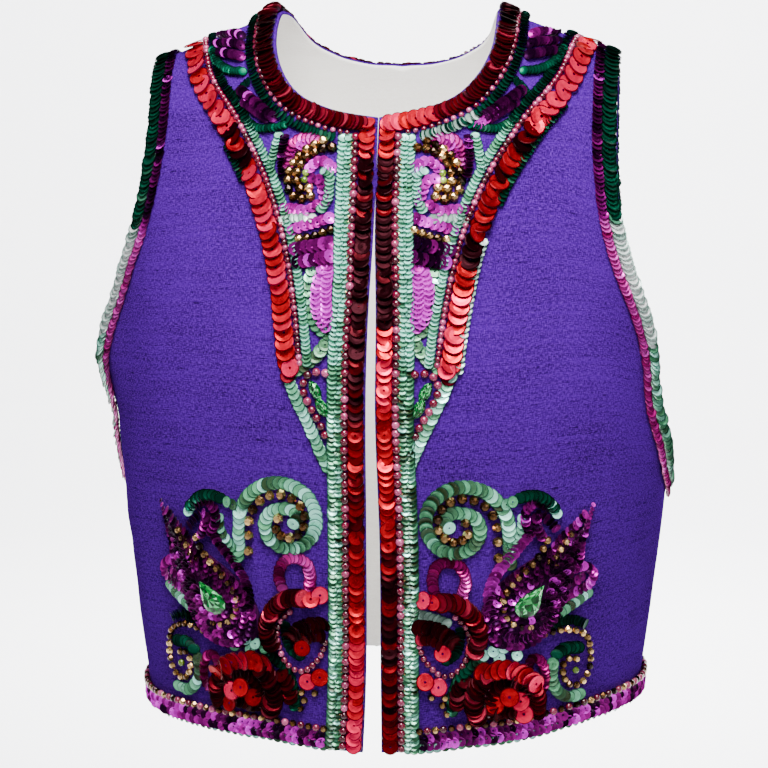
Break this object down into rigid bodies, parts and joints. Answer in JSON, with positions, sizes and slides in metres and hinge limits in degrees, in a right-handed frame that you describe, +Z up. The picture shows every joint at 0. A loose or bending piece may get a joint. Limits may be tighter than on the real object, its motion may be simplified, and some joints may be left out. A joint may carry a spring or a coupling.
{
  "type": "sleeveless bolero jacket",
  "caption": "Short sleeveless bolero of slubbed silk with a round neck, edge-to-edge fronts, sequin and bead bands, and raised scroll, paisley and flower motifs.",
  "frame": {"origin": "middle of the shoulder line between the two neck points, where the wearer's shoulders carry it", "axes": "+Z up, +X towards the wearer's left, -Y out of the fronts"},
  "size_m": [0.3563, 0.2369, 0.4395],
  "materials": {
    "silk": "satin",
    "red_sequins": "gloss",
    "maroon_sequins": "gloss",
    "mint_sequins": "gloss",
    "green_sequins": "gloss",
    "magenta_sequins": "gloss",
    "bronze_beads": "polished",
    "crystals": "clear"
  },
  "bodies": {
    "root": {"front_right": "silk", "front_left": "silk", "back": "silk", "front_band_right": "red_sequins", "front_band_left": "red_sequins", "neck_band_right": "maroon_sequins", "neck_band_left": "maroon_sequins", "neck_band_back": "maroon_sequins", "armhole_band_front_right": "green_sequins", "armhole_band_front_left": "green_sequins", "armhole_band_back_right": "green_sequins", "armhole_band_back_left": "green_sequins", "hem_band_right": "magenta_sequins", "hem_band_left": "magenta_sequins", "hem_band_back": "magenta_sequins", "yoke_band_right": "red_sequins", "yoke_band_left": "red_sequins", "yoke_tail_right": "mint_sequins", "yoke_tail_left": "mint_sequins", "scroll_right": "mint_sequins", "scroll_left": "mint_sequins", "ring_right": "magenta_sequins", "ring_left": "magenta_sequins", "rosette_right": "maroon_sequins", "rosette_left": "maroon_sequins", "side_curl_right": "bronze_beads", "side_curl_left": "bronze_beads", "bib_curl_right": "bronze_beads", "bib_curl_left": "bronze_beads", "bib_bar_1_right": "magenta_sequins", "bib_bar_1_left": "magenta_sequins", "bib_bar_2_right": "magenta_sequins", "bib_bar_2_left": "magenta_sequins", "flower_right": "red_sequins", "flower_left": "red_sequins", "paisley_right": "magenta_sequins", "paisley_left": "magenta_sequins", "paisley_stone_right": "crystals", "paisley_stone_left": "crystals", "leaf_right": "magenta_sequins", "leaf_left": "magenta_sequins", "bib_drop_right": "crystals", "bib_drop_left": "crystals"}
  },
  "joints": []
}
